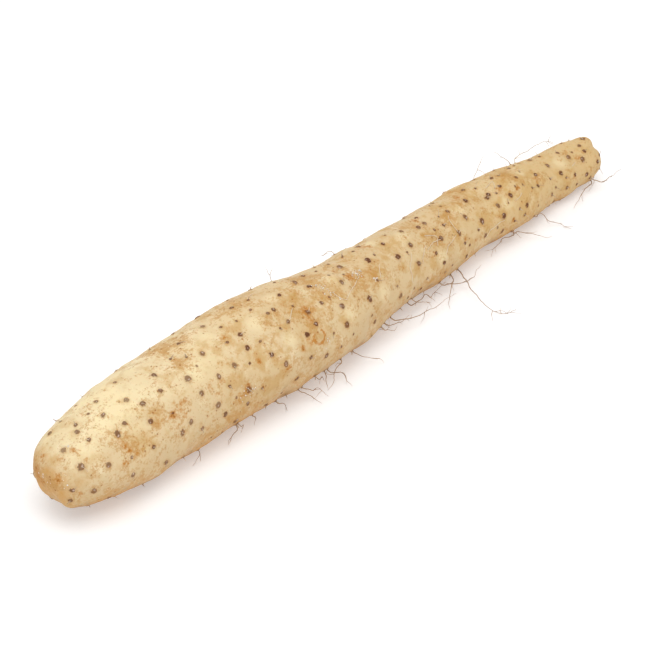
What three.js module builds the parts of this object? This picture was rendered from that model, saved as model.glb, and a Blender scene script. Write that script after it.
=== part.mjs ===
// Chinese yam: one long club-shaped tuber with the fine rootlets that still hang from it.
//
// Millimetres, +Z up. The tuber lies along X on the plane z = 0, with its thick growing
// end towards -X and its thin neck, where the vine was, towards +X. A place on the skin is
// given by two numbers: "along", the distance from the growing tip, and "clock", the angle
// round the tuber in degrees, which is 0 on the -Y flank, 90 on top and 180 on the +Y flank.

import * as THREE from 'three';
import { mergeVertices } from 'three/addons/utils/BufferGeometryUtils.js';

const LENGTH = 480;
const THICKEST = 64;
const OVAL = 0.95;
const RINGS = 72;
const SIDES = 36;
const ROOTLET_RADIUS = 0.4;
const ROOTLET_SIDES = 5;
const ROOTLET_STEP = 3;
const ROOTLET_GAP = 0.6;
const ROOTLET_NECK = 2;
const DEGREE = Math.PI / 180;

// The outline, from the growing tip to the neck: share of the length, share of the greatest
// width, drift of the centre line to +Y, and the height of the centre line. Each height
// leaves the tuber lying on two stretches, with an arch between them and both ends raised.
const STATIONS = [
  [0.000, 0.000, 2.0, 25.0],
  [0.006, 0.360, 2.0, 25.5],
  [0.022, 0.600, 1.5, 26.5],
  [0.048, 0.760, 1.3, 27.5],
  [0.090, 0.880, 1.8, 27.8],
  [0.160, 0.950, 2.5, 28.3],
  [0.240, 0.975, 1.8, 29.0],
  [0.320, 1.010, -0.2, 30.1],
  [0.400, 0.955, -3.2, 29.4],
  [0.480, 0.835, -3.2, 26.5],
  [0.560, 0.745, 0.0, 24.3],
  [0.640, 0.725, 0.3, 23.0],
  [0.720, 0.670, 3.5, 20.8],
  [0.800, 0.655, 1.2, 19.2],
  [0.880, 0.540, 2.0, 15.8],
  [0.940, 0.495, 0.5, 15.0],
  [0.976, 0.455, -2.2, 15.5],
  [0.994, 0.350, -2.4, 15.8],
  [1.000, 0.000, -2.4, 16.0],
];

// Swellings and hollows: along, clock, reach over the skin, and height, which is below zero
// for a hollow.
const LUMPS = [
  [3, -74, 7, -3.6],
  [5, -42, 6, 2.8],
  [8, 145, 12, 1.1],
  [34, 60, 16, -0.5],
  [60, -42, 12, 1.1],
  [88, 240, 20, -0.8],
  [120, 110, 22, 0.6],
  [165, -42, 8, 0.7],
  [178, -42, 8, -0.8],
  [205, -42, 8, -0.8],
  [200, 72, 20, -1.2],
  [214, 135, 15, -1.0],
  [223, -42, 8, 0.6],
  [236, 200, 18, -0.9],
  [247, 135, 12, 0.6],
  [282, -42, 10, -1.1],
  [303, 43, 14, -0.8],
  [322, -42, 10, 0.8],
  [328, 135, 12, -0.5],
  [344, 225, 15, 0.7],
  [363, 135, 10, 0.8],
  [368, -42, 9, -1.0],
  [395, -42, 7, -0.8],
  [410, 190, 12, -0.6],
  [440, -42, 8, 0.8],
  [461, -42, 5, 1.2],
  [471, 135, 5, -0.6],
  [474, 95, 6, 1.7],
];

// The neck ends in two lobes. The cleft between them is a plane along the tuber: the clock
// angle that it faces, its distance from the centre line, and the groove it leaves.
const CLEFT_CLOCK = 128;
const CLEFT_OFFSET = 3.6;
const CLEFT_HALF_WIDTH = 2.2;
const CLEFT_DEPTH = 2.6;
const CLEFT_RUN = 12;

// Rootlets, from the growing tip to the neck: along and clock of the place that each leaves,
// then the points that it passes, as steps from there along +X, +Y and +Z. Those on the
// flanks droop towards the table, and the last ones of each group stand up from the back.
const FRONT_ROOTLETS = [
  [89, -40, [[0, -2, -3], [-2, -4, -6]]],
  [116, -30, [[5, 1, -5], [2, 0, -8]]],
  [118, -40, [[-4, -1, -4], [-10, -4, -5]]],
  [124, -41, [[6, -1, -3], [13, -1, -4], [19, 1, -3]]],
  [148, -40, [[5, -1, -4], [3, -6, -5]]],
  [164, -38, [[3, -2, -3], [7, -4, -7], [7, -12, -8]]],
  [167, -38, [[1, -2, -1], [6, -3, -4], [12, -3, -6], [11, -7, -7], [11, -11, -7]]],
  [175, -28, [[9, 1, -7], [6, -2, -7]]],
  [187, -40, [[-2, -2, -4], [-6, -8, -5]]],
  [190, -41, [[4, -2, -3], [9, -5, -6], [7, -8, -7], [4, -15, -7]]],
  [197, -28, [[-4, -1, -3], [-8, -2, -5], [-13, -6, -7], [-20, -8, -7]]],
  [209, -31, [[3, -1, -3], [11, -5, -9], [16, -8, -10]]],
  [239, -31, [[4, -3, -3], [7, -4, -5], [12, -3, -5]]],
  [243, -30, [[5, -3, -2], [13, -4, -3], [19, -4, -2]]],
  [253, -38, [[6, -5, -2], [15, -9, -3], [23, -8, -4], [35, -9, -5], [42, -8, -5], [52, -9, -5]]],
  [271, -23, [[11, -2, -7], [12, -5, -7]]],
  [271, -36, [[7, -2, -2], [18, 0, -3], [18, -3, -4], [27, 0, -5], [38, 1, -4]]],
  [302, -37, [[8, -3, -4], [10, -6, -4], [18, -8, -4], [24, -8, -4], [30, -5, -4], [37, -4, -4]]],
  [314, -38, [[-7, -7, -2], [-13, -10, -6], [-22, -17, -6]]],
  [322, -38, [[-2, -5, -1], [-6, -14, -3], [-10, -22, -4], [-13, -40, -7], [-4, -52, -7]]],
  [375, -25, [[7, -2, -3], [17, -8, -8], [20, -14, -8], [23, -15, -8]]],
  [381, -40, [[-12, 0, 0], [-19, -2, 0], [-25, -2, 0], [-31, -1, 1]]],
  [398, -20, [[10, 0, -3], [11, -5, -7], [17, -10, -10], [16, -19, -10]]],
  [461, -17, [[7, -6, -4], [18, -4, -6], [31, -4, -6]]],
  [465, -37, [[-10, -3, -1], [-23, -7, -3], [-32, -10, -3]]],
];
const BACK_ROOTLETS = [
  [140, 215, [[3, 5, -3], [-2, 12, -7], [4, 20, -9]]],
  [191, 131, [[0, 1, 5], [1, 0, 9]]],
  [244, 133, [[-9, 1, 4], [-12, 0, 6]]],
  [268, 218, [[5, 4, -2], [14, 8, -6], [22, 16, -8]]],
  [330, 214, [[-4, 5, -3], [-8, 13, -7], [-18, 18, -8]]],
  [374, 121, [[2, 1, 2], [6, 1, 8], [7, 0, 12], [11, 0, 14]]],
  [392, 220, [[6, 4, -1], [12, 10, -3], [22, 12, -4]]],
  [415, 134, [[-4, 1, 6], [-12, 1, 12], [-19, 0, 18]]],
  [419, 133, [[7, 2, 3], [16, 1, 2], [25, 1, 3], [38, 2, -1], [48, 4, -7]]],
  [448, 212, [[8, 4, -2], [16, 10, -4], [22, 18, -5]]],
];

const outline = new THREE.SplineCurve(
  STATIONS.map(([along, width]) => new THREE.Vector2(width * THICKEST / 2, along * LENGTH)),
);
const centreLine = new THREE.SplineCurve(
  STATIONS.map(([, , drift, height]) => new THREE.Vector2(drift, height)),
);
const outlinePoints = outline.getPoints(RINGS);
outlinePoints[0].x = 0;
outlinePoints[RINGS].x = 0;

function centreAt(ring) {
  const { x: y, y: z } = centreLine.getPoint(ring / RINGS);
  return new THREE.Vector3(outlinePoints[ring].y, y, z);
}

function offAxis(radius, clock) {
  return new THREE.Vector3(0, -radius * Math.cos(clock), OVAL * radius * Math.sin(clock));
}

// The centre line, and a place on the smooth outline's skin, between two rings.
function smoothPlace(along, clock) {
  const next = outlinePoints.findIndex((point) => point.y > along);
  const from = outlinePoints[next - 1];
  const share = (along - from.y) / (outlinePoints[next].y - from.y);
  const radius = THREE.MathUtils.lerp(from.x, outlinePoints[next].x, share);
  const centre = centreAt(next - 1).lerp(centreAt(next), share);
  return { centre, skin: centre.clone().add(offAxis(radius, clock)) };
}

const lumps = LUMPS.map(([along, clock, reach, height]) => {
  return { centre: smoothPlace(along, clock * DEGREE).skin, reach, height };
});

// Long shallow waves, so that no stretch of the tuber is a plain cone.
function waves(along, clock) {
  const slow = Math.sin(along / 21 + 2 * clock) * Math.sin(along / 34 - clock + 1);
  const quick = Math.sin(along / 9 - 3 * clock + 2) * Math.sin(along / 13 + 2 * clock);
  return 0.35 * slow + 0.15 * quick;
}

function cleft(place, centre) {
  const facing = offAxis(1, CLEFT_CLOCK * DEGREE).normalize();
  const distance = place.clone().sub(centre).setX(0).dot(facing) - CLEFT_OFFSET;
  const reached = THREE.MathUtils.smoothstep(place.x, LENGTH - CLEFT_RUN, LENGTH);
  return -CLEFT_DEPTH * reached * Math.exp(-((distance / CLEFT_HALF_WIDTH) ** 2));
}

// Raises or sinks one point of the smooth skin. Near an end it moves away from a point
// inside that end, so that the rounded end swells as the flanks do.
function shaped(place, centre, clock) {
  const inside = centre.clone();
  inside.x = THREE.MathUtils.clamp(place.x, 24, LENGTH - 14);
  let height = waves(place.x, clock) * Math.min(1, place.distanceTo(centre) / 12);
  height += cleft(place, centre);
  for (const lump of lumps) {
    height += lump.height * Math.exp(-((place.distanceTo(lump.centre) / lump.reach) ** 2));
  }
  const outwards = place.clone().sub(inside).normalize();
  const result = place.clone().addScaledVector(outwards, height);
  result.z = Math.max(result.z, 0);
  return result;
}

function tuberGeometry() {
  const geometry = new THREE.LatheGeometry(outlinePoints, SIDES);
  const position = geometry.attributes.position;
  for (let i = 0; i < position.count; i += 1) {
    const centre = centreAt(i % (RINGS + 1));
    const radius = Math.hypot(position.getX(i), position.getZ(i));
    const clock = Math.atan2(position.getZ(i), position.getX(i));
    const place = shaped(centre.clone().add(offAxis(radius, clock)), centre, clock);
    position.setXYZ(i, place.x, place.y, place.z);
  }
  return closed(geometry);
}

// A thin wiry root that starts just off the skin, leaves it squarely and then follows its
// own points.
function rootletGeometry([along, clock, steps]) {
  const { centre, skin } = smoothPlace(along, clock * DEGREE);
  const root = shaped(skin, centre, clock * DEGREE);
  const outwards = root.clone().sub(centre).normalize();
  const path = new THREE.CatmullRomCurve3([
    root.clone().addScaledVector(outwards, ROOTLET_GAP),
    root.clone().addScaledVector(outwards, ROOTLET_NECK),
    ...steps.map((step) => root.clone().add(new THREE.Vector3(...step))),
  ]);
  const corners = [];
  for (let i = 0; i < ROOTLET_SIDES; i += 1) {
    const turn = (i / ROOTLET_SIDES) * 2 * Math.PI;
    corners.push(new THREE.Vector2(Math.cos(turn), Math.sin(turn)).multiplyScalar(ROOTLET_RADIUS));
  }
  const geometry = new THREE.ExtrudeGeometry(new THREE.Shape(corners), {
    extrudePath: path,
    steps: Math.ceil(path.getLength() / ROOTLET_STEP),
  });
  return closed(geometry);
}

function closed(geometry) {
  geometry.deleteAttribute('normal');
  geometry.deleteAttribute('uv');
  return mergeVertices(geometry, 1e-4);
}

function piece(name, geometry, color, roughness) {
  const material = new THREE.MeshStandardMaterial({ color, roughness, metalness: 0 });
  const mesh = new THREE.Mesh(geometry, material);
  mesh.name = name;
  return mesh;
}

const yam = new THREE.Group();
yam.add(piece('tuber', tuberGeometry(), 0xdcc296, 0.6));
for (const [side, rootlets] of [['front', FRONT_ROOTLETS], ['back', BACK_ROOTLETS]]) {
  rootlets.forEach((rootlet, index) => {
    const name = `rootlet_${side}_${String(index + 1).padStart(2, '0')}`;
    yam.add(piece(name, rootletGeometry(rootlet), 0x8f6f56, 0.8));
  });
}

// The origin is on the table, under the middle of everything.
const box = new THREE.Box3().setFromObject(yam);
const middle = box.getCenter(new THREE.Vector3());
yam.position.set(-middle.x, -middle.y, -box.min.z);

export default yam;
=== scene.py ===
"""Chinese yam: the skin, rootlets and studio of a long tuber, grown over its CAD frame.

A place on the skin is given as on the CAD model, by two numbers: "along", the distance from
the growing tip in millimetres, and "clock", the angle round the tuber in degrees, which is
0 on the -Y flank, 90 on top and 180 on the +Y flank.
"""

import math
import random

import bmesh
import bpy
import numpy as np
from bpy.props import FloatProperty, FloatVectorProperty, IntProperty, PointerProperty
from mathutils import Matrix, Vector, noise
from mathutils.bvhtree import BVHTree


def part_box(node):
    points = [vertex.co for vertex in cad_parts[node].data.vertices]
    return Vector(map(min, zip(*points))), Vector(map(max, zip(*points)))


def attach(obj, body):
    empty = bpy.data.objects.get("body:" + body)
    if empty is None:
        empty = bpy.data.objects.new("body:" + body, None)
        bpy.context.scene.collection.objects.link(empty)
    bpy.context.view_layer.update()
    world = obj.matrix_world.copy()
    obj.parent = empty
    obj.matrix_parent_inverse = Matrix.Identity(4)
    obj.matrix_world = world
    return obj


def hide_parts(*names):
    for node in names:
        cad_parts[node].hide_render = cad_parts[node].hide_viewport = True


bl_info = {
    "name": "Chinese Yam",
    "version": (1, 0, 0),
    "blender": (4, 5, 0),
    "location": "View3D > Sidebar > Yam",
    "description": "Grows a chinese yam's skin and rootlets over its CAD frame",
    "category": "Add Mesh",
}

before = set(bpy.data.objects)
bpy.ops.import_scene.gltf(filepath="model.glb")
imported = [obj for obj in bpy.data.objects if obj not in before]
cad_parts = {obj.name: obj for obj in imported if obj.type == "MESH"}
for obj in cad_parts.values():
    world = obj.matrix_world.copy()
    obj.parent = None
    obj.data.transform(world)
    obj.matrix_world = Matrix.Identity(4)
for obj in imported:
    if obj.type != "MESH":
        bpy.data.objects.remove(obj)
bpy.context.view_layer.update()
MM = 0.001

# The larger dots of cork on the near flank and the top: along and clock. These numbers were
# worked out by another script and then rounded. They weren't chosen by hand.
LARGE_DOTS = [
    (119, 41), (149, 15), (143, 30), (181, -4), (279, 31), (363, -8),
    (12, 40), (14, -5), (24, 25), (37, 50), (57, 40), (72, 10), (77, 80), (90, 55),
    (99, 15), (108, 70), (112, -20), (122, 10), (124, 100), (157, -10), (170, 30),
    (179, 35), (180, 50), (191, 95), (195, 80), (200, 20), (203, 40), (215, 65),
    (226, 30), (227, 90), (246, 75), (255, 110), (255, 5), (267, 55), (281, 60),
    (306, 45), (322, 35), (334, 50), (346, 5), (346, 30), (346, 75), (365, 67),
    (362, 62), (365, 20), (378, 45), (388, 15), (428, 65), (448, 60), (457, 40),
]
MEDIUM_DOTS = [
    (38, 78), (134, 65), (146, 100), (157, 69), (168, 6), (36, -2), (60, -15), (75, -29),
    (137, -28), (285, 87), (300, 10), (278, -11), (164, 51), (192, 54), (132, 49),
    (4, -20), (5, 5), (11, 80), (16, 125), (22, 85), (23, 65), (24, -30), (25, 95),
    (43, 100), (44, 55), (52, 15), (54, 75), (59, 60), (60, 105), (72, 60), (79, 15),
    (86, 0), (92, 35), (103, 0), (105, 100), (107, 40), (115, 130), (120, -5),
    (136, -25), (162, 70), (174, 85), (203, 105), (228, -5), (267, 85),
    (296, 30), (298, 80), (304, 80), (306, 100), (315, 60), (324, 15), (325, -10),
    (326, 75), (330, 115), (355, 100), (364, 40), (377, 70), (379, 95),
    (385, 0), (393, 70), (401, 105), (407, 35), (412, 60), (419, 0), (423, 105),
    (424, -25), (433, 35), (436, -5), (445, 15), (445, 85), (457, 0), (462, 55),
    (463, 75), (469, 15), (471, 90),
]
LARGE_RADIUS = 1.95
MEDIUM_RADIUS = 1.55
SMALL_RADIUS = 0.95
ROOT_SCAR_RADIUS = 1.3

# The scatter of the other dots: how far it stays from the ends, in millimetres, the clocks
# that it covers, the clock at which the far side begins, how much closer together the dots of
# the near side may be, and when it stops.
SCATTER_MARGIN = 3
FIRST_CLOCK = -50
LAST_CLOCK = 310
FAR_SIDE_CLOCK = 125
NEAR_SIDE_GAP = 0.6
SCATTER_TRIES = 2600
MOST_DOTS = 350

# How far finer faces reach past a dot's rim, in two rounds, and round the ring of scar.
WIDE_MARGIN = 2.4
NARROW_MARGIN = 1.0
SCAR_MARGIN = 6.5

# The skin's unevenness, in millimetres: broad and small, each as height and size.
BROAD_RELIEF = (1.1, 17)
SMALL_RELIEF = (0.3, 6)

# Rusty stains, brown patches and pale patches: along, clock and reach in millimetres. Many of
# the places in these lists, and in those of swellings, flakes and threads, were worked out by
# the same script.
RUST_MARKS = [
    (180, 51, 6.5), (178, 43, 3.5), (76, 31, 5.5), (71, 30, 5.0), (74, 36, 4.5),
    (375, 66, 4.0), (410, 48, 4.5), (373, 3, 2.6), (80, 38, 3.0), (387, 48, 4.0),
    (353, 48, 2.6), (455, 49, 4.0), (36, 40, 3.4), (37, 34, 3.2),
    (38, 28, 3.4), (42, 21, 3.2), (33, 16, 3.0), (116, 9, 4.0), (122, 13, 3.5),
    (264, 38, 3.5), (282, 74, 3.5), (325, 22, 3.0), (99, 36, 3.0), (240, 20, 2.6),
    (170, 22, 3.5), (163, 20, 3.0), (224, 68, 4.0), (231, 62, 3.5), (14, 66, 4.0),
    (7, 76, 3.0), (16, 43, 3.0), (31, 66, 2.6), (0.5, 180, 5.5),
    (1.5, 150, 4.0), (2.5, 40, 4.5), (8, -8, 3.0), (5, 115, 3.0), (134, 30, 3.0),
    (150, 10, 3.5), (345, 90, 4.0),
    (303, 96, 4.0), (258, 98, 4.0), (440, 62, 2.6), (398, 30, 2.6),
    (336, 8, 3.0), (126, 72, 2.6), (108, 33, 2.6),
]
# Brown patches are weathered skin, except the one at 176 mm along and 45 degrees, which is
# painted shade over the hollow near 180 mm along.
BROWN_AND_SHADE_PATCHES = [
    (1, 190, 9.0), (1, 30, 6.0), (5, 170, 12.0), (46, 30, 11.0), (22, -35, 8.0),
    (118, 2, 11.0), (110, -12, 9.0), (122, -38, 16.0), (76, -45, 10.0),
    (176, -40, 10.0), (210, -38, 9.0),
    (250, -42, 10.0), (330, -35, 9.0), (372, -40, 9.0), (430, -38, 8.0),
    (176, 45, 15.0), (172, 70, 11.0), (205, 62, 13.0), (222, 50, 13.0), (238, 55, 12.0),
    (60, 45, 9.0), (95, 75, 9.0), (152, 62, 7.0), (95, -40, 18.0), (30, -42, 14.0),
    (303, 47, 14.0), (296, -25, 14.0), (390, 86, 14.0), (348, 92, 14.0), (322, 76, 9.0),
    (180, 66, 8.0), (224, 90, 8.0), (296, 91, 8.0), (250, 66, 7.0), (354, 66, 8.0),
    (200, 100, 12.0), (150, 105, 14.0), (100, 115, 14.0), (60, 200, 22.0),
    (150, 250, 30.0), (250, 215, 24.0), (330, 260, 26.0), (420, 230, 20.0),
]
# Pale patches: those on the near side and the top are painted highlight, cream laid where light
# catches the skin; the three at clock 180 and past it are pale skin.
PALE_AND_HIGHLIGHT_PATCHES = [
    (16, 62, 13.0), (34, 80, 12.0), (62, 74, 9.0), (98, 60, 9.0), (118, 84, 7.0), (146, 66, 9.0),
    (168, 86, 7.0), (158, 34, 8.0), (211, 76, 7.0), (205, 28, 8.0), (240, 24, 8.0),
    (262, 104, 7.0), (281, 78, 8.0), (300, 20, 7.0), (334, 64, 6.0), (372, 34, 7.0),
    (402, 78, 6.0), (438, 60, 7.0), (120, 200, 14.0), (240, 180, 12.0), (360, 210, 10.0),
]

# Swellings and hollows: along, clock, reach and height in millimetres. A hollow's height is
# below zero.
SWELLINGS = [
    (212, 78, 7.0, 1.4), (182, 60, 11.0, -1.8), (266, 104, 8.0, 0.9), (278, 86, 7.0, 1.1),
    (238, 92, 9.0, -1.1), (226, 48, 9.0, -0.9), (44, 36, 12.0, -1.2), (30, 62, 12.0, 0.7),
    (66, 66, 14.0, 0.9), (104, 92, 12.0, -0.8), (128, 66, 12.0, 0.8), (118, 14, 9.0, -1.0),
    (152, 24, 14.0, 0.8), (309, 99, 9.0, 0.8), (303, 52, 9.0, -1.0), (333, 87, 8.0, 0.9),
    (214, 25, 12.0, 0.8), (255, 20, 11.0, 0.7), (360, 70, 9.0, -0.6), (395, 60, 9.0, 0.5),
]

# An open ring of rusty scar: along, clock, radius and width in millimetres.
RING_SCAR = (177.5, 22, 4.2, 1.4)

# Patches of loose flakes: along, clock, reach in millimetres and how many flakes.
FLAKE_PATCHES = [
    (3, 42, 3.5, 22), (2, 67, 4.0, 22), (3, 21, 3.0, 8), (13, 79, 2.5, 6), (1, 100, 4.0, 12),
    (230, 66, 4.5, 38), (239, 45, 2.8, 34), (200, 75, 3.5, 20), (203, 61, 4.0, 18),
    (205, 47, 3.0, 8), (253, 43, 3.0, 16), (246, 30, 3.0, 10), (77, 34, 2.4, 12),
    (71, 30, 2.0, 6), (118, 9, 5.0, 14), (126, 9, 3.0, 8), (190, 100, 4.0, 10),
    (216, 62, 3.5, 8), (60, 62, 5.0, 6), (170, 8, 4.0, 8), (183, 12, 3.0, 8),
    (140, 230, 9.0, 24), (290, 200, 9.0, 24), (400, 235, 7.0, 16),
]

# Pale root threads that lie on the skin, each as the places that it passes: along and clock.
THREADS = [
    [(287, 105), (282, 76), (277, 47), (271, 31), (269, 8)],
    [(325, 73), (321, 57), (322, 38)],
    [(318, 35), (309, 29), (303, 17), (299, 8)],
    [(291, 48), (286, 38), (283, 27)],
    [(305, 44), (297, 47), (291, 42)],
    [(377, 88), (368, 82)],
    [(377, 88), (372, 68)],
    [(365, 12), (352, 8), (345, -4)],
    [(226, 58), (217, 50), (209, 43)],
    [(172, 62), (165, 52)],
    [(450, 41), (441, 30), (436, 17)],
    [(466, 47), (459, 44)],
    [(262, 66), (250, 60), (243, 44)],
    [(296, 62), (303, 52), (300, 38)],
    [(204, 60), (207, 46), (215, 36)],
    [(398, 52), (390, 40), (380, 32)],
    [(330, 160), (322, 185), (326, 210)],
    [(396, 150), (388, 176), (380, 196)],
    [(262, 170), (250, 188), (236, 196)],
]


def srgb(red, green, blue):
    """A colour given as 0 to 255 in sRGB, as the linear values that Blender's nodes hold."""
    values = []
    for value in (red / 255, green / 255, blue / 255):
        low = value <= 0.04045
        values.append(value / 12.92 if low else ((value + 0.055) / 1.055) ** 2.4)
    return tuple(values)


class SkinLook(bpy.types.PropertyGroup):
    """Colours and dots of the tuber's skin"""

    cream: FloatVectorProperty(
        name="Cream",
        description="Young skin at the growing end",
        subtype="COLOR",
        default=srgb(247, 227, 180),
    )
    tan: FloatVectorProperty(
        name="Tan",
        description="Older skin, from the belly to the neck",
        subtype="COLOR",
        default=srgb(222, 194, 148),
    )
    bark_and_shade: FloatVectorProperty(
        name="Bark",
        description="Brown of weathered patches and of the underside",
        subtype="COLOR",
        default=srgb(200, 155, 88),
    )
    rust: FloatVectorProperty(
        name="Rust",
        description="Stain round scars",
        subtype="COLOR",
        default=srgb(192, 124, 40),
    )
    cork: FloatVectorProperty(
        name="Cork",
        description="Dark rim of a dot",
        subtype="COLOR",
        default=srgb(104, 60, 36),
    )
    ash: FloatVectorProperty(
        name="Ash",
        description="Grey heart of a dot",
        subtype="COLOR",
        default=srgb(214, 190, 172),
    )
    dot_gap: FloatProperty(
        name="Dot Gap",
        description="Least distance between dots at the growing end",
        subtype="DISTANCE",
        unit="LENGTH",
        default=13 * MM,
    )
    dot_height: FloatProperty(
        name="Dot Height",
        description="Rise of a dot as a share of its radius",
        default=0.33,
        min=0,
        max=1,
    )
    seed: IntProperty(name="Seed", description="Start of the scatter of dots", default=7)


class RootLook(bpy.types.PropertyGroup):
    """Thickness and colours of rootlets, hairs and threads"""

    base_radius: FloatProperty(
        name="Base Radius",
        description="Radius of a rootlet where it leaves the skin",
        subtype="DISTANCE",
        unit="LENGTH",
        default=0.42 * MM,
    )
    tip_radius: FloatProperty(
        name="Tip Radius",
        description="Radius of a rootlet at its tip",
        subtype="DISTANCE",
        unit="LENGTH",
        default=0.09 * MM,
    )
    fibre: FloatVectorProperty(
        name="Fibre",
        description="Dry root",
        subtype="COLOR",
        default=srgb(168, 138, 114),
    )
    pale_fibre: FloatVectorProperty(
        name="Pale Fibre",
        description="Thin root with light behind it",
        subtype="COLOR",
        default=srgb(226, 206, 178),
    )
    seed: IntProperty(
        name="Seed",
        description="Start of the wiggles and branches",
        default=21,
        min=1,
    )


class StudioLook(bpy.types.PropertyGroup):
    """Floor, lights and camera"""

    azimuth: FloatProperty(
        name="Azimuth",
        description="Turn of the camera round the tuber from facing +Y",
        subtype="ANGLE",
        unit="ROTATION",
        default=math.radians(-48.76),
    )
    elevation: FloatProperty(
        name="Elevation",
        description="Height of the camera over the table, as an angle",
        subtype="ANGLE",
        unit="ROTATION",
        default=math.radians(35),
    )
    distance: FloatProperty(
        name="Distance",
        description="From the camera to the point that it looks at",
        subtype="DISTANCE",
        unit="LENGTH",
        default=1.25,
    )
    lens: FloatProperty(
        name="Lens",
        description="Focal length",
        subtype="DISTANCE_CAMERA",
        unit="CAMERA",
        default=118.6,
    )
    key_power: FloatProperty(
        name="Key Power",
        description="Power of the large light overhead",
        subtype="POWER",
        unit="POWER",
        default=12.4,
    )
    ambient: FloatProperty(
        name="Ambient",
        description="Strength of the even light from all round",
        default=0.56,
    )


class Tuber:
    """The CAD tuber: its centre line, and any place on its skin."""

    SLICE = 8 * MM
    STEP = 4 * MM

    def __init__(self, node):
        self.node = node
        self.points = np.array([v.co for v in node.data.vertices])
        self.tip = self.points[:, 0].min()
        self.length = self.points[:, 0].max() - self.tip
        faces = [tuple(face.vertices) for face in node.data.polygons]
        self.tree = BVHTree.FromPolygons([Vector(point) for point in self.points], faces)
        self.stations = np.arange(0, self.length, self.STEP)
        self.centres = np.array([self._slice_centre(x) for x in self.stations])

    def _slice_centre(self, along):
        near = np.abs(self.points[:, 0] - self.tip - along) < self.SLICE
        flanks = self.points[near, 1:]
        return (flanks.min(0) + flanks.max(0)) / 2

    def centre(self, along):
        y = np.interp(along, self.stations, self.centres[:, 0])
        z = np.interp(along, self.stations, self.centres[:, 1])
        return Vector((self.tip + along, y, z))

    def place(self, along, clock):
        """The point and the normal of the skin at a place given in millimetres and degrees."""
        turn = math.radians(clock)
        outwards = Vector((0, -math.cos(turn), math.sin(turn)))
        point, normal, _, _ = self.tree.ray_cast(self.centre(along * MM), outwards)
        if point is None:
            raise RuntimeError(f"no skin at {along} mm along and {clock} degrees")
        return point, normal

    def nearest(self, point):
        skin, normal, _, gap = self.tree.find_nearest(point)
        return skin, normal, gap


tuber = Tuber(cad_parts["tuber"])


class Number:
    """A number in a material's node tree, which Python's operators work on."""

    def __init__(self, book, socket):
        self.book = book
        self.socket = socket

    def __add__(self, other):
        return self.book.maths("ADD", self, other)

    def __sub__(self, other):
        return self.book.maths("SUBTRACT", self, other)

    def __rsub__(self, other):
        return self.book.maths("SUBTRACT", other, self)

    def __mul__(self, other):
        return self.book.maths("MULTIPLY", self, other)

    __radd__ = __add__
    __rmul__ = __mul__


class Book:
    """One material and the nodes that it is made of."""

    def __init__(self, name):
        self.material = bpy.data.materials.new(name)
        self.material.use_nodes = True
        self.tree = self.material.node_tree
        self.tree.nodes.clear()

    def node(self, kind, settings=None, inputs=None):
        """Adds a node, with its settings made first and then its sockets set or linked."""
        made = self.tree.nodes.new(kind)
        for name, value in (settings or {}).items():
            setattr(made, name, value)
        for name, value in (inputs or {}).items():
            self.feed(made.inputs[name], value)
        return made

    def feed(self, socket, value):
        if isinstance(value, Number):
            value = value.socket
        if isinstance(value, bpy.types.NodeSocket):
            self.tree.links.new(value, socket)
        elif socket.type == "RGBA" and len(value) == 3:
            socket.default_value = (*value, 1)
        else:
            socket.default_value = value

    def maths(self, operation, *values):
        made = self.node("ShaderNodeMath", {"operation": operation}, dict(enumerate(values)))
        return Number(self, made.outputs[0])

    def step(self, value, low, high):
        """0 below low and 1 over high, or the other way round, with a smooth rise between."""
        inputs = {"Value": value, "From Min": low, "From Max": high}
        made = self.node("ShaderNodeMapRange", {"interpolation_type": "SMOOTHSTEP"}, inputs)
        return Number(self, made.outputs["Result"])

    def mix(self, factor, first, second, blend="MIX"):
        settings = {"data_type": "RGBA", "blend_type": blend}
        made = self.node("ShaderNodeMix", settings, {0: factor, 6: first, 7: second})
        return made.outputs[2]

    def place(self, scale=(1, 1, 1)):
        """Object coordinates, stretched."""
        coordinates = self.node("ShaderNodeTexCoord").outputs["Object"]
        made = self.node("ShaderNodeMapping", None, {"Vector": coordinates, "Scale": scale})
        return made.outputs["Vector"]

    def grain(self, size, detail=2.0, rough=0.5, stretch=(1, 1, 1)):
        """Noise from 0 to 1 whose lumps are about size metres across."""
        inputs = {
            "Vector": self.place(stretch), "Scale": 1 / size,
            "Detail": detail, "Roughness": rough,
        }
        return Number(self, self.node("ShaderNodeTexNoise", None, inputs).outputs["Fac"])

    def cells(self, size, output="Distance"):
        """Voronoi cells about size metres apart: how far a point is from its cell's middle."""
        inputs = {"Vector": self.place(), "Scale": 1 / size}
        return Number(self, self.node("ShaderNodeTexVoronoi", None, inputs).outputs[output])

    def stored(self, name):
        """A number that is stored on the mesh's points."""
        made = self.node("ShaderNodeAttribute", {"attribute_name": name})
        return Number(self, made.outputs["Fac"])

    def position(self, axis):
        made = self.node("ShaderNodeSeparateXYZ", None, {"Vector": self.place()})
        return Number(self, made.outputs[axis])

    def upwards(self):
        """How far the surface faces up: 1 on top, 0 on the flanks and -1 underneath."""
        facing = self.node("ShaderNodeTexCoord").outputs["Normal"]
        made = self.node("ShaderNodeSeparateXYZ", None, {"Vector": facing})
        return Number(self, made.outputs["Z"])

    def bump(self, height, distance, under=None):
        inputs = {"Height": height, "Distance": distance, "Strength": 1.0}
        if under is not None:
            inputs["Normal"] = under
        return self.node("ShaderNodeBump", None, inputs).outputs["Normal"]

    def finish(self, **inputs):
        """The surface shader. Underscores in the names stand for spaces."""
        named = {name.replace("_", " "): value for name, value in inputs.items()}
        shader = self.node("ShaderNodeBsdfPrincipled", None, named)
        output = self.node("ShaderNodeOutputMaterial")
        self.tree.links.new(shader.outputs["BSDF"], output.inputs["Surface"])
        return self.material


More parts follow.
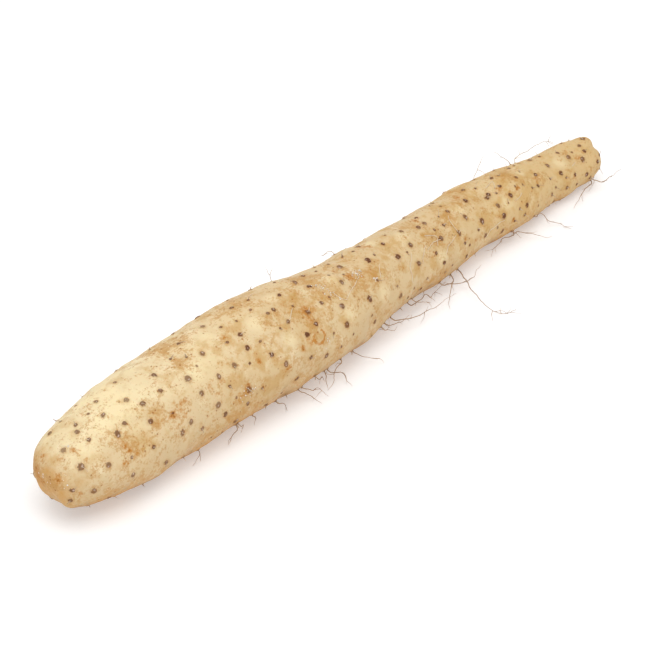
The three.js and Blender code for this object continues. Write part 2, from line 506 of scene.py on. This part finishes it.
def skin_material(look):
    """Cream to tan skin with weathered patches, freckles, stains, corky dots and painted light.
    """
    book = Book("tuber_skin")
    along = book.position("X") - float(tuber.tip)
    upwards = book.upwards()
    broad = book.grain(0.045, 3.0, 0.55)
    mottle = book.grain(0.012, 4.0, 0.6)
    small = book.grain(0.005, 3.0, 0.6)
    fine = book.grain(0.0018, 3.0, 0.65)

    # Painted light on the top: the cream of the young skin at the growing end goes mostly on
    # faces that look up, so the top reads lighter than the flanks.
    young = book.step(along + 0.12 * broad, 0.24, 0.1)
    top = book.step(upwards + 0.5 * (broad - 0.5), 0.5, 0.92)
    colour = book.mix(young * (0.15 + 0.85 * top), look.tan, look.cream)
    ashen = book.step(book.grain(0.03, 2.0, 0.5), 0.46, 0.6)
    colour = book.mix(ashen * 0.5, colour, srgb(229, 206, 165))
    pale = book.step(mottle + 0.7 * (broad - 0.5), 0.5, 0.7)
    colour = book.mix(pale * (0.35 + 0.4 * young), colour, srgb(250, 234, 196))
    cloud = book.step(book.grain(0.009, 4.0, 0.6) + 0.5 * (broad - 0.5), 0.47, 0.66)
    colour = book.mix(cloud * (0.75 - 0.35 * young), colour, srgb(205, 163, 99))
    # Painted shade: tan-brown laid over faces that look down, darkest underneath.
    underside = book.step(upwards + 0.5 * (mottle - 0.5), 0.65, -0.7)
    colour = book.mix(underside * 0.42, colour, srgb(180, 144, 96))
    neck = book.step(along + 0.1 * (broad - 0.5), 0.27, 0.42)
    colour = book.mix(neck * 0.4, colour, srgb(222, 184, 118))
    # Darker brown towards the bottom, on faces that look down, broken up by noise.
    low_facing = upwards + 0.9 * (mottle - 0.5) + 0.8 * (small - 0.5)
    darker_below = book.step(low_facing, -0.38, -0.85)
    colour = book.mix(darker_below * 0.8, colour, srgb(150, 102, 50))

    # Brown patches of weathering, with painted shade over the hollow near 180 mm along.
    patch = book.stored("patch") + 1.3 * (mottle - 0.5) + 0.5 * (small - 0.5)
    weathered_and_shade = book.step(patch, 0.25, 1.15)
    colour = book.mix(weathered_and_shade * 0.45, colour, look.bark_and_shade)
    # Painted highlight, and pale skin on the far flank: light cream over the pale patches.
    pale_and_highlight = book.step(book.stored("pale_and_highlight") + 1.1 * (mottle - 0.5), 0.3, 1.0)
    colour = book.mix(pale_and_highlight * 0.5, colour, srgb(249, 231, 186))
    tip = book.step(along + 0.018 * (small - 0.5) + 0.014 * (mottle - 0.5), 0.009, -0.003)
    colour = book.mix(tip * 0.75, colour, srgb(208, 150, 68))
    dusty = 0.15 * book.stored("patch") + 0.1 * underside
    dusty = dusty + 0.7 * (small - 0.5) + 0.7 * (mottle - 0.5)
    grime = book.step(book.grain(0.0015, 4.0, 0.75) + dusty, 0.52, 0.76)
    colour = book.mix(grime * 0.6, colour, srgb(192, 136, 60))

    crowd = book.step(small + 0.22 * book.stored("patch"), 0.5, 0.64)
    speck = book.step(book.cells(0.0034), 0.22, 0.1) * crowd
    colour = book.mix(speck * 0.75, colour, srgb(160, 98, 40))
    tiny = book.step(book.cells(0.0019), 0.32, 0.14) * book.step(mottle, 0.48, 0.62)
    colour = book.mix(tiny * 0.4, colour, srgb(180, 118, 48))

    stain = book.stored("rust") + 1.4 * (small - 0.5) + 2.4 * (fine - 0.5)
    rust = book.step(stain, 0.4, 1.2)
    colour = book.mix(rust * 0.82, colour, look.rust)
    burnt = book.step(stain, 1.0, 1.5)
    colour = book.mix(burnt * 0.65, colour, srgb(128, 74, 30))
    ring = book.step(book.stored("ring") + 1.6 * (fine - 0.5) + 1.6 * (small - 0.5), 0.4, 1.0)
    colour = book.mix(ring * 0.9, colour, look.rust)

    ragged = 1.2 * (book.grain(0.0013, 2.0, 0.6) - 0.5)
    dot = book.stored("dot") + ragged
    halo = book.step(dot, 2.1, 0.9)
    colour = book.mix(halo * 0.3, colour, srgb(186, 132, 72))
    rim = book.step(dot, 1.12, 0.72)
    colour = book.mix(rim * book.stored("tone") * (1 - 0.15 * young), colour, look.cork)
    glint = book.step(book.grain(0.0009, 1.0, 0.5), 0.42, 0.58)
    heart = book.step(book.stored("pip") + 1.5 * ragged, 0.9, 0.35)
    colour = book.mix(heart * (0.12 + 0.75 * glint), colour, look.ash)

    roughness = 0.46 + 0.14 * mottle + 0.2 * rim
    wrinkles = book.grain(0.006, 3.0, 0.55, (1, 0.25, 0.25))
    normal = book.bump(wrinkles, 0.0004)
    normal = book.bump(fine, 0.0001, normal)
    return book.finish(
        Base_Color=colour, Roughness=roughness, Normal=normal,
        Specular_IOR_Level=0.18, Subsurface_Weight=0.06, Subsurface_Scale=0.004,
    )


def fibre_material(name, colour, tint):
    """A dry root: streaks along it and darker joints."""
    book = Book(name)
    streak = book.grain(0.004, 3.0, 0.6)
    fleck = book.grain(0.0012, 2.0, 0.6)
    shade = book.mix(book.step(streak, 0.35, 0.7), colour, tint)
    shade = book.mix(book.step(fleck, 0.55, 0.75) * 0.4, shade, srgb(92, 66, 50))
    normal = book.bump(fleck, 0.0001)
    return book.finish(Base_Color=shade, Roughness=0.7 + 0.2 * streak, Normal=normal)


def flake_material():
    """Loose dry skin, near white with cream edges."""
    book = Book("skin_flake")
    grain = book.grain(0.0015, 2.0, 0.6)
    shade = book.mix(book.step(grain, 0.35, 0.65), srgb(252, 248, 240), srgb(232, 214, 184))
    return book.finish(Base_Color=shade, Roughness=0.55 + 0.2 * grain,
                       Normal=book.bump(grain, 0.0001))


def floor_material():
    """Smooth white board."""
    book = Book("studio_floor")
    grain = book.grain(0.12, 2.0, 0.5)
    shade = book.mix(grain, srgb(232, 232, 232), srgb(228, 228, 229))
    return book.finish(Base_Color=shade, Roughness=0.85 + 0.05 * grain,
                       Emission_Color=(1, 1, 1, 1), Emission_Strength=0.33)


ROOTLET_SIDES = 5


def centre_line(node):
    """The middle of each ring of a CAD rootlet, from the skin outwards."""
    tube = bmesh.new()
    tube.from_mesh(node.data)
    bmesh.ops.remove_doubles(tube, verts=tube.verts, dist=0.001 * MM)
    ring = sorted(tube.verts, key=lambda vertex: tuber.nearest(vertex.co)[2])[:ROOTLET_SIDES]
    seen = set(ring)
    line = []
    while ring:
        line.append(sum((vertex.co for vertex in ring), Vector()) / len(ring))
        following = []
        for vertex in ring:
            for edge in vertex.link_edges:
                other = edge.other_vert(vertex)
                if other not in seen:
                    seen.add(other)
                    following.append(other)
        ring = following
    tube.free()
    return line


def rootlet_names():
    return sorted(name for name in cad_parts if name.startswith("rootlet_"))


class Dot:
    """One spot of cork: where it is, how large, its oval and where its grey heart lies."""

    def __init__(self, point, normal, radius, chance):
        self.point = point
        self.normal = normal
        self.radius = radius * chance.uniform(0.88, 1.14) * MM
        self.oval = chance.uniform(0.8, 1.0)
        turn = chance.uniform(0, math.pi)
        side = self.normal.cross(Vector((1, 0, 0))).normalized()
        ahead = side.cross(self.normal)
        self.long_axis = math.cos(turn) * ahead + math.sin(turn) * side
        self.short_axis = self.normal.cross(self.long_axis)
        self.tone = chance.uniform(0.7, 0.96)
        off = chance.uniform(0.15, 0.5)
        way = chance.uniform(0, 2 * math.pi)
        self.heart = (off * math.cos(way), off * math.sin(way))
        self.heart_size = chance.uniform(0.3, 0.6)


def gap_at(along, look):
    """Least distance between dots: wider at the growing end than at the neck."""
    share = along * MM / tuber.length
    return look.dot_gap * (1 - 0.35 * min(1, max(0, share - 0.3) / 0.5))


def all_dots(look):
    """The listed dots, those that rootlets grow from, and those scattered elsewhere."""
    chance = random.Random(look.seed)
    dots = [Dot(*tuber.place(*place), LARGE_RADIUS, chance) for place in LARGE_DOTS]
    dots += [Dot(*tuber.place(*place), MEDIUM_RADIUS, chance) for place in MEDIUM_DOTS]
    for name in rootlet_names():
        point, normal, _ = tuber.nearest(centre_line(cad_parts[name])[0])
        dots.append(Dot(point, normal, ROOT_SCAR_RADIUS, chance))
    end = tuber.length / MM - SCATTER_MARGIN
    for _ in range(SCATTER_TRIES):
        along = chance.uniform(SCATTER_MARGIN, end)
        clock = chance.uniform(FIRST_CLOCK, LAST_CLOCK)
        hidden = FAR_SIDE_CLOCK < clock < LAST_CLOCK
        radius = chance.choice((LARGE_RADIUS, MEDIUM_RADIUS, MEDIUM_RADIUS, SMALL_RADIUS))
        if not hidden:
            radius = SMALL_RADIUS
        dot = Dot(*tuber.place(along, clock), radius, chance)
        gap = gap_at(along, look) * (1 if hidden else NEAR_SIDE_GAP)
        if all((dot.point - other.point).length > gap for other in dots):
            dots.append(dot)
        if len(dots) >= MOST_DOTS:
            break
    return dots


def deselect():
    if bpy.context.object and bpy.context.object.mode != "OBJECT":
        bpy.ops.object.mode_set(mode="OBJECT")
    bpy.ops.object.select_all(action="DESELECT")


def make_active(piece):
    deselect()
    piece.select_set(True)
    bpy.context.view_layer.objects.active = piece


def settle(piece, material):
    """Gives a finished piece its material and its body."""
    piece.data.materials.clear()
    piece.data.materials.append(material)
    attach(piece, "root")


def point_array(mesh, name="co"):
    values = np.empty(len(mesh.vertices) * 3, np.float32)
    mesh.vertices.foreach_get(name, values)
    return values.reshape(-1, 3).astype(float)


def apply_modifier(piece, kind, **settings):
    modifier = piece.modifiers.new(kind.title(), kind)
    for name, value in settings.items():
        setattr(modifier, name, value)
    make_active(piece)
    bpy.ops.object.modifier_apply(modifier=modifier.name)


def skin_cage():
    """A copy of the CAD tuber as clean quads, smoothed once."""
    mesh = tuber.node.data.copy()
    mesh.name = "tuber_skin"
    piece = bpy.data.objects.new("tuber_skin", mesh)
    bpy.context.scene.collection.objects.link(piece)
    make_active(piece)
    bpy.ops.object.mode_set(mode="EDIT")
    bpy.ops.mesh.select_all(action="SELECT")
    bpy.ops.mesh.remove_doubles(threshold=0.005 * MM)
    bpy.ops.mesh.tris_convert_to_quads(face_threshold=math.radians(60),
                                       shape_threshold=math.radians(60))
    bpy.ops.object.mode_set(mode="OBJECT")
    split_long_edges(piece, 6 * MM)
    apply_modifier(piece, "SUBSURF", levels=1, render_levels=1)
    return piece


def split_long_edges(piece, longest):
    """Halves the edges that run along the tuber where its rings are far apart."""
    mesh = piece.data
    points = point_array(mesh)
    ends = np.array([tuple(edge.vertices) for edge in mesh.edges])
    spans = np.abs(points[ends[:, 0]] - points[ends[:, 1]])
    long_ones = (spans[:, 0] > longest) & (spans[:, 0] > spans[:, 1:].max(1))
    mesh.polygons.foreach_set("select", np.zeros(len(mesh.polygons), bool))
    mesh.vertices.foreach_set("select", np.zeros(len(mesh.vertices), bool))
    mesh.edges.foreach_set("select", long_ones)
    make_active(piece)
    bpy.ops.object.mode_set(mode="EDIT")
    bpy.ops.mesh.select_mode(type="EDGE")
    bpy.ops.mesh.subdivide(number_cuts=1, smoothness=1.0)
    bpy.ops.object.mode_set(mode="OBJECT")


def refine(piece, spots):
    """Splits the faces that lie within each spot, given as its middle and its reach."""
    mesh = piece.data
    middles = np.empty(len(mesh.polygons) * 3, np.float32)
    mesh.polygons.foreach_get("center", middles)
    middles = middles.reshape(-1, 3)
    inside = np.zeros(len(middles), bool)
    for middle, reach in spots:
        inside |= ((middles - np.array(middle, np.float32)) ** 2).sum(1) < reach**2
    mesh.vertices.foreach_set("select", np.zeros(len(mesh.vertices), bool))
    mesh.edges.foreach_set("select", np.zeros(len(mesh.edges), bool))
    mesh.polygons.foreach_set("select", inside)
    make_active(piece)
    bpy.ops.object.mode_set(mode="EDIT")
    bpy.ops.mesh.select_mode(type="FACE")
    bpy.ops.mesh.subdivide(number_cuts=1, smoothness=1.0, ngon=False)
    bpy.ops.object.mode_set(mode="OBJECT")


def smooth_step(value, low, high):
    share = np.clip((value - low) / (high - low), 0, 1)
    return share * share * (3 - 2 * share)


def spread(points, marks):
    """A soft spot of 1 round each mark, given as along, clock and reach."""
    total = np.zeros(len(points))
    for along, clock, reach in marks:
        middle, _ = tuber.place(along, clock)
        distance = np.linalg.norm(points - np.array(middle), axis=1) / (reach * MM)
        total = np.maximum(total, 1 - smooth_step(distance, 0, 1.5))
    return total


def ring_scar(points):
    """1 on the open ring of scar and 0 away from it."""
    along, clock, radius, width = RING_SCAR
    middle, normal = tuber.place(along, clock)
    offset = points - np.array(middle)
    distance = np.linalg.norm(offset, axis=1)
    ahead = Vector((1, 0, 0)).cross(normal).normalized()
    open_side = smooth_step(-(offset @ np.array(ahead)) / (radius * MM), 0.55, 0.85)
    band = np.abs(distance - radius * MM) / (width * MM)
    return (1 - smooth_step(band, 0.3, 1.3)) * (1 - open_side)


def store(mesh, name, values):
    attribute = mesh.attributes.new(name, "FLOAT", "POINT")
    attribute.data.foreach_set("value", values.astype(np.float32))


def sculpt_skin(piece, dots, look):
    """Raises the dots, adds fine unevenness and stores what the material needs."""
    mesh = piece.data
    points = point_array(mesh)
    normals = point_array(mesh, "normal")
    nearest = np.full(len(points), 9.0)
    heart = np.full(len(points), 9.0)
    tone = np.full(len(points), 0.9)
    rise = np.zeros(len(points))
    for dot in dots:
        near = np.flatnonzero(np.abs(points[:, 0] - dot.point.x) < 4 * dot.radius)
        offset = points[near] - np.array(dot.point)
        close = np.linalg.norm(offset, axis=1) < 4 * dot.radius
        near, offset = near[close], offset[close]
        across = offset @ np.array(dot.long_axis) / dot.radius
        along = offset @ np.array(dot.short_axis) / (dot.radius * dot.oval)
        distance = np.hypot(across, along)
        pip = np.hypot(across - dot.heart[0], along - dot.heart[1]) / dot.heart_size
        closer = distance < nearest[near]
        tone[near[closer]] = dot.tone
        nearest[near] = np.minimum(nearest[near], distance)
        heart[near] = np.minimum(heart[near], pip)
        mound = 1 - smooth_step(distance, 0.55, 1.3)
        pit = 1 - smooth_step(pip, 0.2, 1.1)
        rise[near] += look.dot_height * dot.radius * (mound - 0.75 * pit)
    for along, clock, reach, height in SWELLINGS:
        middle, _ = tuber.place(along, clock)
        distance = np.linalg.norm(points - np.array(middle), axis=1) / (reach * MM)
        rise += height * MM * np.exp(-(distance**2))
    for index, point in enumerate(points):
        place = Vector(point)
        for height, size in (BROAD_RELIEF, SMALL_RELIEF):
            rise[index] += height * MM * noise.noise(place / (size * MM))
    points += normals * rise[:, None]
    points[:, 2] = np.maximum(points[:, 2], 0)
    mesh.vertices.foreach_set("co", points.astype(np.float32).ravel())
    mesh.update()
    store(mesh, "dot", nearest)
    store(mesh, "pip", heart)
    store(mesh, "tone", tone)
    store(mesh, "rust", spread(points, RUST_MARKS))
    store(mesh, "patch", spread(points, BROWN_AND_SHADE_PATCHES))
    store(mesh, "pale_and_highlight", spread(points, PALE_AND_HIGHLIGHT_PATCHES))
    store(mesh, "ring", ring_scar(points))


class YAM_OT_grow_tuber(bpy.types.Operator):
    """Grow the tuber's skin over the CAD tuber, with its corky dots, patches and stains"""

    bl_idname = "yam.grow_tuber"
    bl_label = "Grow Tuber"

    def execute(self, context):
        look = context.scene.yam_skin
        dots = all_dots(look)
        piece = skin_cage()
        scar = (tuber.place(*RING_SCAR[:2])[0], SCAR_MARGIN * MM)
        refine(piece, [(dot.point, dot.radius + WIDE_MARGIN * MM) for dot in dots] + [scar])
        refine(piece, [(dot.point, dot.radius + NARROW_MARGIN * MM) for dot in dots])
        sculpt_skin(piece, dots, look)
        make_active(piece)
        bpy.ops.object.shade_smooth()
        settle(piece, skin_material(look))
        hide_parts("tuber")
        return {"FINISHED"}


def resampled(line, step):
    """The same line with points every step, on a smooth curve through the old ones."""
    fine = []
    for index in range(len(line) - 1):
        before = line[max(index - 1, 0)]
        start, end = line[index], line[index + 1]
        after = line[min(index + 2, len(line) - 1)]
        count = max(1, round((end - start).length / step))
        for part in range(count):
            share = part / count
            bend = (2 * before - 5 * start + 4 * end - after) * share**2
            twist = (3 * start - before - 3 * end + after) * share**3
            fine.append(start + 0.5 * ((end - before) * share + bend + twist))
    fine.append(line[-1].copy())
    return fine


def clear_of_all(point, radius):
    """Moves a point that is in the table or in the tuber just out of it."""
    skin, normal, _ = tuber.nearest(point)
    depth = (point - skin).dot(normal)
    if depth < radius:
        point = skin + normal * radius
    point.z = max(point.z, radius)
    return point


def wiggled(line, amount, seed):
    """The line with small bends that grow away from its start."""
    result = []
    shift = Vector((seed * 7.3, seed * 1.7, seed * 4.1))
    for index, point in enumerate(line):
        grown = min(1, index / 5)
        bend = noise.noise_vector(point / (6 * MM) + shift)
        kink = noise.noise_vector(point / (2.2 * MM) - shift)
        result.append(point + amount * grown * (bend + 0.35 * kink))
    return result


def tapered(line, base, tip):
    """Pairs of point and radius along a line, thick at its start and thin at its end."""
    last = max(1, len(line) - 1)
    strand = []
    for index, point in enumerate(line):
        share = index / last
        radius = base + (tip - base) * share**0.7
        strand.append((clear_of_all(point, radius) if index > 1 else point, radius))
    return strand


def grown_strand(start, direction, length, base, tip, chance, droop=0.4):
    """A strand that wanders off from a point and sinks a little."""
    step = 1.0 * MM
    line = [start]
    heading = direction.normalized()
    for _ in range(max(3, round(length / step))):
        turn = Vector((chance.gauss(0, 1), chance.gauss(0, 1), chance.gauss(0, 1) - droop))
        heading = (heading + 0.22 * turn).normalized()
        line.append(line[-1] + heading * step)
    return tapered(line, base, tip)


def strands_piece(name, strands):
    """One mesh of round tapered strands, each given as pairs of point and radius."""
    deselect()
    bpy.ops.object.add(type="CURVE")
    piece = bpy.context.object
    piece.name = name
    piece.data.name = name
    curve = piece.data
    curve.dimensions = "3D"
    curve.bevel_depth = MM
    curve.bevel_resolution = 1
    curve.use_fill_caps = True
    for strand in strands:
        spline = curve.splines.new("POLY")
        spline.points.add(len(strand) - 1)
        for slot, (point, radius) in zip(spline.points, strand):
            slot.co = (*point, 1)
            slot.radius = radius / MM
    make_active(piece)
    bpy.ops.object.convert(target="MESH")
    bpy.ops.object.mode_set(mode="EDIT")
    bpy.ops.mesh.select_all(action="SELECT")
    bpy.ops.mesh.remove_doubles(threshold=0.002 * MM)
    bpy.ops.mesh.normals_make_consistent(inside=False)
    bpy.ops.object.mode_set(mode="OBJECT")
    bpy.ops.object.shade_smooth()
    return bpy.context.object


class YAM_OT_grow_rootlets(bpy.types.Operator):
    """Grow each rootlet as a tapered, kinked and branching root in place of its CAD tube"""

    bl_idname = "yam.grow_rootlets"
    bl_label = "Grow Rootlets"

    # In millimetres, and the thickness of a rootlet on the back as a share of the others'.
    ROOT_DEPTH = 0.5
    STEP = 1.2
    WIGGLE = 0.8
    BACK_THICKNESS = 0.6

    def execute(self, context):
        look = context.scene.yam_roots
        # Unseeded, the noise vectors that bend a line would differ from run to run.
        noise.seed_set(look.seed)
        # The rootlets on the back get a pale copy of the fibre: painted backlight, the root as
        # it looks with light behind it. The others keep the dry root's own colour.
        brown = fibre_material("rootlet_fibre", look.fibre, srgb(190, 160, 130))
        pale = fibre_material("fine_rootlet_fibre", look.pale_fibre, srgb(176, 148, 124))
        for number, name in enumerate(rootlet_names()):
            chance = random.Random(look.seed + number)
            line = centre_line(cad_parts[name])
            skin, normal, _ = tuber.nearest(line[0])
            line = [skin - normal * self.ROOT_DEPTH * MM, *line]
            line = wiggled(resampled(line, self.STEP * MM), self.WIGGLE * MM, number)
            base = look.base_radius * (self.BACK_THICKNESS if "back" in name else 1)
            strands = [tapered(line, base, look.tip_radius)]
            strands += self.branches(line, look, chance)
            piece = strands_piece(name.replace("rootlet", "root"), strands)
            settle(piece, pale if "back" in name else brown)
            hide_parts(name)
        return {"FINISHED"}

    def branches(self, line, look, chance):
        """Fine side roots, more of them on a longer rootlet."""
        made = []
        for _ in range(min(5, len(line) // 7)):
            index = chance.randrange(3, len(line) - 2)
            heading = (line[index + 1] - line[index - 1]).normalized()
            swing = Vector((chance.gauss(0, 1), chance.gauss(0, 1), chance.gauss(0, 0.5)))
            length = chance.uniform(2.5, 9) * MM
            made.append(grown_strand(line[index], heading + 0.8 * swing, length,
                                     look.base_radius * 0.45, look.tip_radius * 0.8, chance))
        return made


class YAM_OT_grow_hairs(bpy.types.Operator):
    """Grow short broken hairs from the dots, and lay pale root threads on the skin"""

    bl_idname = "yam.grow_hairs"
    bl_label = "Grow Hairs and Threads"

    # Shares are of all dots, and the rest is in millimetres.
    HAIRY_SHARE = 0.7
    LEAST_HEIGHT = 4
    HAIR_LENGTHS = (1.0, 1.2, 1.4, 1.8, 2.6, 5.0)
    LONGEST_NUB = 2
    NUB_RADIUS = 0.5
    HAIR_RADIUS = 0.2
    HAIR_TIP_RADIUS = 0.08
    HAIR_ROOT_DEPTH = 0.3
    THREAD_STEP = 1.5
    THREAD_WIGGLE = 1.1
    THREAD_RADIUS = 0.18
    THREAD_LIFT = 0.11

    def execute(self, context):
        look = context.scene.yam_roots
        self.hairs(look, context.scene.yam_skin)
        self.threads(look)
        return {"FINISHED"}

    def hairs(self, look, skin_look):
        chance = random.Random(look.seed)
        strands = []
        for dot in all_dots(skin_look):
            if chance.random() > self.HAIRY_SHARE or dot.point.z < self.LEAST_HEIGHT * MM:
                continue
            lean = Vector((chance.gauss(0, 0.6), chance.gauss(0, 0.6), chance.gauss(0, 0.6)))
            length = chance.choice(self.HAIR_LENGTHS) * MM
            base = (self.NUB_RADIUS if length < self.LONGEST_NUB * MM else self.HAIR_RADIUS) * MM
            start = dot.point - dot.normal * self.HAIR_ROOT_DEPTH * MM
            strands.append(grown_strand(start, dot.normal + lean, length, base,
                                        self.HAIR_TIP_RADIUS * MM, chance))
        piece = strands_piece("root_hairs", strands)
        settle(piece, fibre_material("hair_fibre", look.fibre, look.pale_fibre))

    def threads(self, look):
        # Unseeded, the noise vectors that bend a line would differ from run to run.
        noise.seed_set(look.seed)
        strands = []
        for number, places in enumerate(THREADS):
            stops = [tuber.place(along, clock)[0] for along, clock in places]
            smooth = resampled(stops, self.THREAD_STEP * MM)
            line = wiggled(smooth, self.THREAD_WIGGLE * MM, number)
            strand = []
            for point in line:
                skin, normal, _ = tuber.nearest(point)
                lifted = skin + normal * self.THREAD_LIFT * MM
                strand.append((lifted, self.THREAD_RADIUS * MM))
            strands.append(strand)
        piece = strands_piece("root_threads", strands)
        settle(piece, fibre_material("thread_fibre", look.pale_fibre, srgb(240, 226, 198)))


class YAM_OT_add_flakes(bpy.types.Operator):
    """Scatter loose white flakes of dry skin in patches"""

    bl_idname = "yam.add_flakes"
    bl_label = "Add Flakes"

    # In millimetres.
    SMALLEST = 0.22
    LARGEST = 0.65
    THICKNESS = 0.1
    LIFT = 0.06

    def execute(self, context):
        chance = random.Random(context.scene.yam_skin.seed)
        deselect()
        bpy.ops.mesh.primitive_ico_sphere_add(subdivisions=1, radius=1)
        pattern = bpy.context.object
        bpy.ops.object.mode_set(mode="EDIT")
        bpy.ops.mesh.select_all(action="SELECT")
        bpy.ops.transform.vertex_random(offset=0.25, seed=3)
        bpy.ops.object.mode_set(mode="OBJECT")
        flakes = []
        for along, clock, reach, count in FLAKE_PATCHES:
            for _ in range(count):
                flakes.append(self.flake(pattern, along, clock, reach, chance))
        bpy.data.objects.remove(pattern)
        deselect()
        for flake in flakes:
            flake.select_set(True)
        bpy.context.view_layer.objects.active = flakes[0]
        bpy.ops.object.join()
        piece = bpy.context.object
        piece.name = "skin_flakes"
        piece.data.name = "skin_flakes"
        bpy.ops.object.shade_smooth()
        settle(piece, flake_material())
        return {"FINISHED"}

    def flake(self, pattern, along, clock, reach, chance):
        """A thin chip laid on the skin near the middle of its patch."""
        middle, _ = tuber.place(along, clock)
        spot = Vector((chance.gauss(0, 0.45), chance.gauss(0, 0.45), chance.gauss(0, 0.45)))
        skin, normal, _ = tuber.nearest(middle + spot * reach * MM)
        mesh = pattern.data.copy()
        size = chance.uniform(self.SMALLEST, self.LARGEST) * MM
        width = size * chance.uniform(0.35, 0.9)
        shape = Matrix.Diagonal((size, width, self.THICKNESS * MM, 1))
        spin = Matrix.Rotation(chance.uniform(0, math.pi), 4, "Z")
        tilt = normal.to_track_quat("Z", "Y").to_matrix().to_4x4()
        lift = Matrix.Translation(skin + normal * self.LIFT * MM)
        mesh.transform(lift @ tilt @ spin @ shape)
        piece = bpy.data.objects.new("flake", mesh)
        bpy.context.scene.collection.objects.link(piece)
        return piece


class YAM_OT_add_stage(bpy.types.Operator):
    """Set up the pale floor, the soft lights and the camera"""

    bl_idname = "yam.add_stage"
    bl_label = "Add Stage"

    # Where the camera aims, as shares of the tuber's length and height.
    AIM_ALONG = 0.453
    AIM_HEIGHT = 0.24

    def execute(self, context):
        look = context.scene.yam_studio
        self.floor()
        self.lights(look)
        self.ambient(context.scene, look)
        self.camera(context.scene, look)
        context.scene.view_settings.view_transform = "Standard"
        return {"FINISHED"}

    def floor(self):
        deselect()
        bpy.ops.mesh.primitive_plane_add(size=12, location=(0, 0, -0.05 * MM))
        floor = bpy.context.object
        floor.name = "studio_floor"
        floor.data.materials.append(floor_material())

    def lights(self, look):
        self.lamp("key", (-0.3, -0.32, 1.42), 1.3, look.key_power)
        self.lamp("fill", (0.9, 1.1, 1.0), 1.2, look.key_power * 0.25)

    def lamp(self, name, place, size, power):
        deselect()
        bpy.ops.object.light_add(type="AREA", location=place)
        lamp = bpy.context.object
        lamp.name = name
        lamp.data.size = size
        lamp.data.energy = power
        lamp.rotation_euler = Vector(place).to_track_quat("Z", "Y").to_euler()

    def ambient(self, scene, look):
        """White all round, which the camera sees as a plain white backdrop."""
        world = bpy.data.worlds.new("studio")
        world.use_nodes = True
        scene.world = world
        tree = world.node_tree
        light = tree.nodes["Background"]
        light.inputs["Color"].default_value = (1, 1, 1, 1)
        light.inputs["Strength"].default_value = look.ambient
        backdrop = tree.nodes.new("ShaderNodeBackground")
        backdrop.inputs["Color"].default_value = (1, 1, 1, 1)
        rays = tree.nodes.new("ShaderNodeLightPath")
        mix = tree.nodes.new("ShaderNodeMixShader")
        tree.links.new(rays.outputs["Is Camera Ray"], mix.inputs[0])
        tree.links.new(light.outputs[0], mix.inputs[1])
        tree.links.new(backdrop.outputs[0], mix.inputs[2])
        tree.links.new(mix.outputs[0], tree.nodes["World Output"].inputs["Surface"])

    def camera(self, scene, look):
        low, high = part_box("tuber")
        target = Vector((low.x + self.AIM_ALONG * (high.x - low.x), (low.y + high.y) / 2,
                         self.AIM_HEIGHT * high.z))
        flat = math.cos(look.elevation)
        back = Vector((math.sin(look.azimuth) * flat, -math.cos(look.azimuth) * flat,
                       math.sin(look.elevation)))
        deselect()
        bpy.ops.object.camera_add(location=target + back * look.distance)
        camera = bpy.context.object
        camera.rotation_euler = back.to_track_quat("Z", "Y").to_euler()
        camera.data.sensor_width = 36
        camera.data.lens = look.lens
        camera.data.clip_start = 0.05
        scene.camera = camera


class YAM_PT_panel(bpy.types.Panel):
    """The steps that grow the yam, in order"""

    bl_label = "Chinese Yam"
    bl_idname = "YAM_PT_panel"
    bl_space_type = "VIEW_3D"
    bl_region_type = "UI"
    bl_category = "Yam"

    def draw(self, context):
        for operator in OPERATORS:
            self.layout.operator(operator.bl_idname)


OPERATORS = (
    YAM_OT_add_stage,
    YAM_OT_grow_tuber,
    YAM_OT_grow_rootlets,
    YAM_OT_grow_hairs,
    YAM_OT_add_flakes,
)
CLASSES = (SkinLook, RootLook, StudioLook, *OPERATORS, YAM_PT_panel)


def register():
    for each in CLASSES:
        bpy.utils.register_class(each)
    bpy.types.Scene.yam_skin = PointerProperty(type=SkinLook)
    bpy.types.Scene.yam_roots = PointerProperty(type=RootLook)
    bpy.types.Scene.yam_studio = PointerProperty(type=StudioLook)


def unregister():
    del bpy.types.Scene.yam_studio
    del bpy.types.Scene.yam_roots
    del bpy.types.Scene.yam_skin
    for each in reversed(CLASSES):
        bpy.utils.unregister_class(each)


def main():
    register()
    bpy.ops.yam.add_stage()
    bpy.ops.yam.grow_tuber()
    bpy.ops.yam.grow_rootlets()
    bpy.ops.yam.grow_hairs()
    bpy.ops.yam.add_flakes()


if __name__ == "__main__":
    main()
